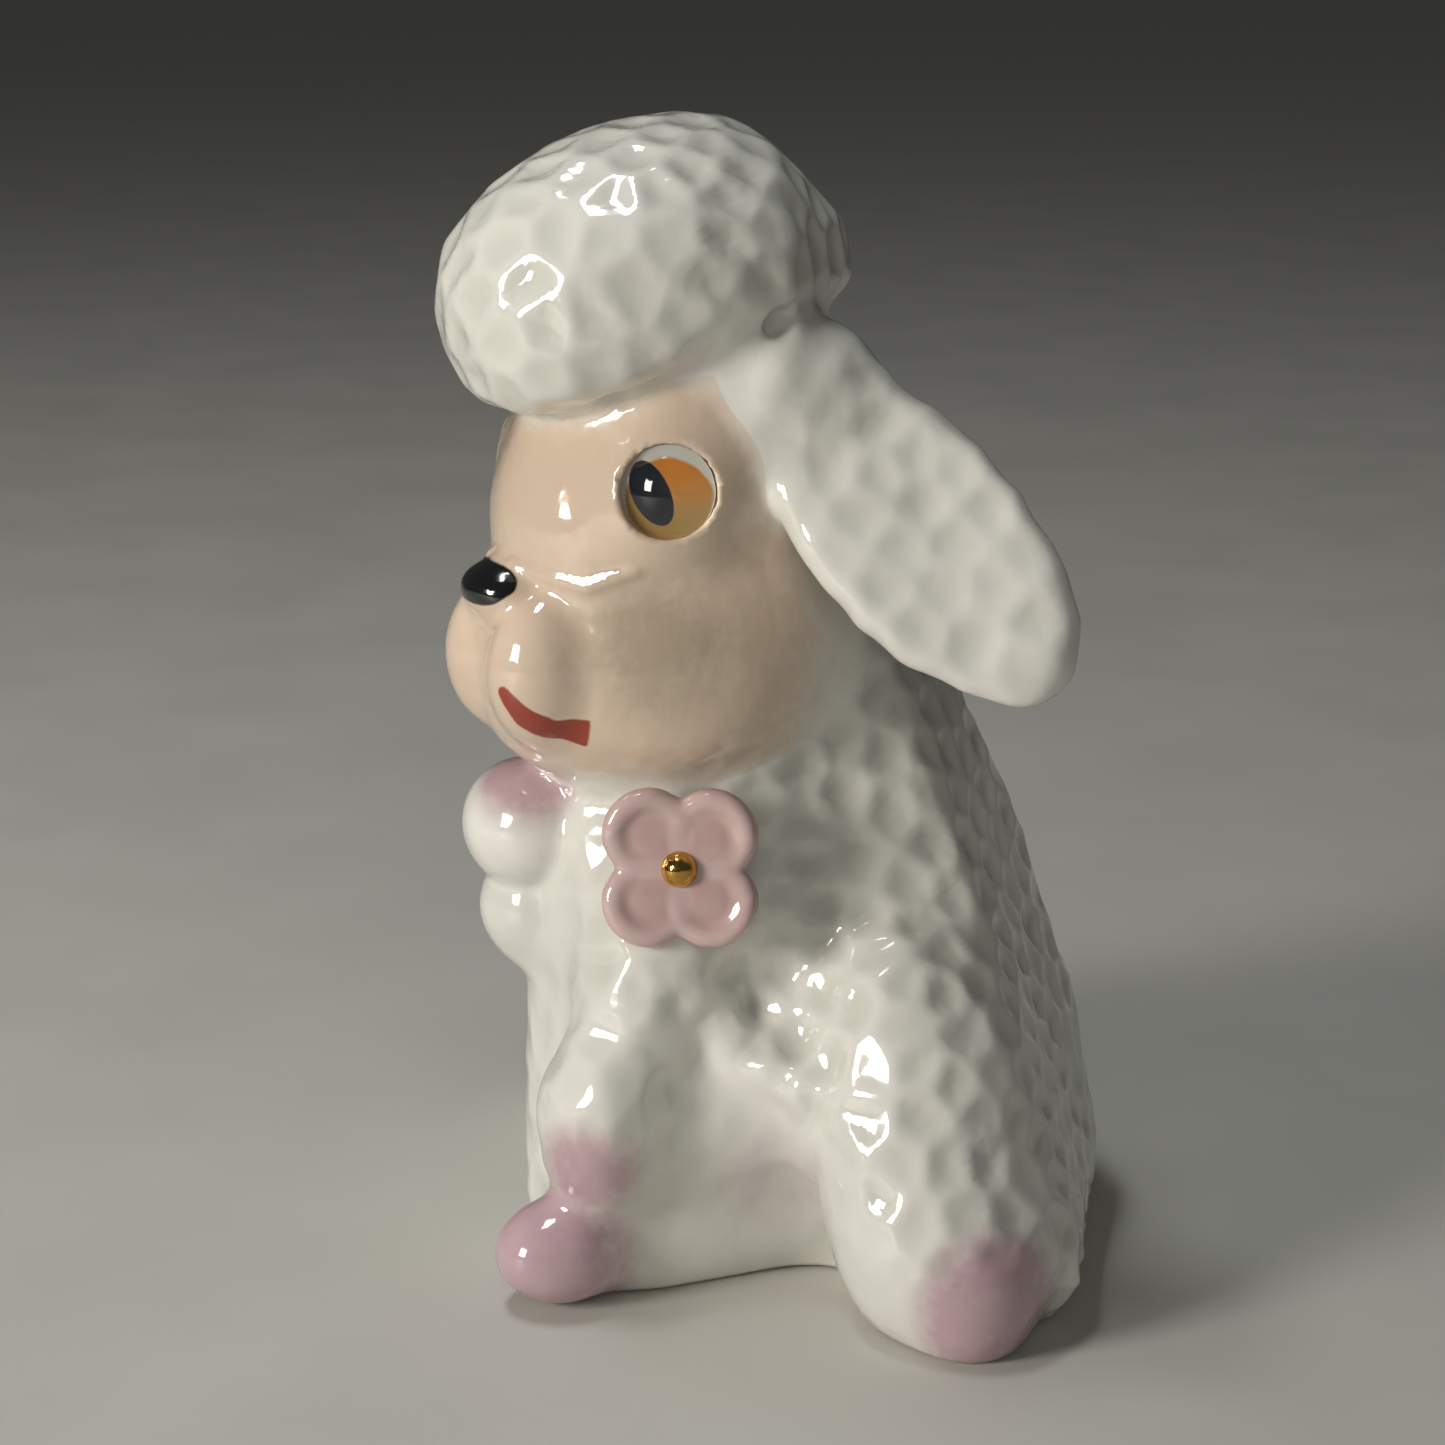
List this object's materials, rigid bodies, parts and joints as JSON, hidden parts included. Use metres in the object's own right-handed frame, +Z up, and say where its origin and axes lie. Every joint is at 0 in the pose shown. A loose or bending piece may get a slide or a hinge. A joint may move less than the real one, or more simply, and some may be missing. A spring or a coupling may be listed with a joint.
{
  "type": "dog figurine",
  "caption": "Seated poodle figurine in glazed ceramic, one paw raised, with glass eyes and an applied flower, hollow cast with a flat foot.",
  "frame": {"origin": "on the surface the figurine stands on, under the middle of its bounding box", "axes": "+Z up, the dog faces -Y, its left side is +X"},
  "size_m": [0.0848, 0.0716, 0.1143],
  "materials": {
    "white_glaze": "high gloss off-white glaze over a hammered surface",
    "peach_glaze": "high gloss glaze over airbrushed peach, black nose and red mouth",
    "mauve_tipped_glaze": "high gloss off-white glaze with airbrushed mauve paws",
    "pink_glaze": "glossy dusty pink glaze",
    "gold_lustre": "fired gold lustre",
    "eye_glass": "clear polished glass",
    "amber_enamel": "amber paint behind glass",
    "black_enamel": "black paint behind glass",
    "cement": "matt plaster-like cement"
  },
  "bodies": {
    "root": {"torso": "white_glaze", "head": "peach_glaze", "topknot": "white_glaze", "left_ear": "white_glaze", "right_ear": "white_glaze", "standing_foreleg": "mauve_tipped_glaze", "raised_foreleg": "mauve_tipped_glaze", "tail": "white_glaze", "flower_petal_1": "pink_glaze", "flower_petal_2": "pink_glaze", "flower_petal_3": "pink_glaze", "flower_petal_4": "pink_glaze", "flower_pad": "white_glaze", "flower_bead": "gold_lustre", "left_eye_lens": "eye_glass", "right_eye_lens": "eye_glass", "left_eye_iris": "amber_enamel", "right_eye_iris": "amber_enamel", "left_eye_pupil": "black_enamel", "right_eye_pupil": "black_enamel", "left_eye_cement": "cement", "right_eye_cement": "cement"}
  },
  "joints": []
}
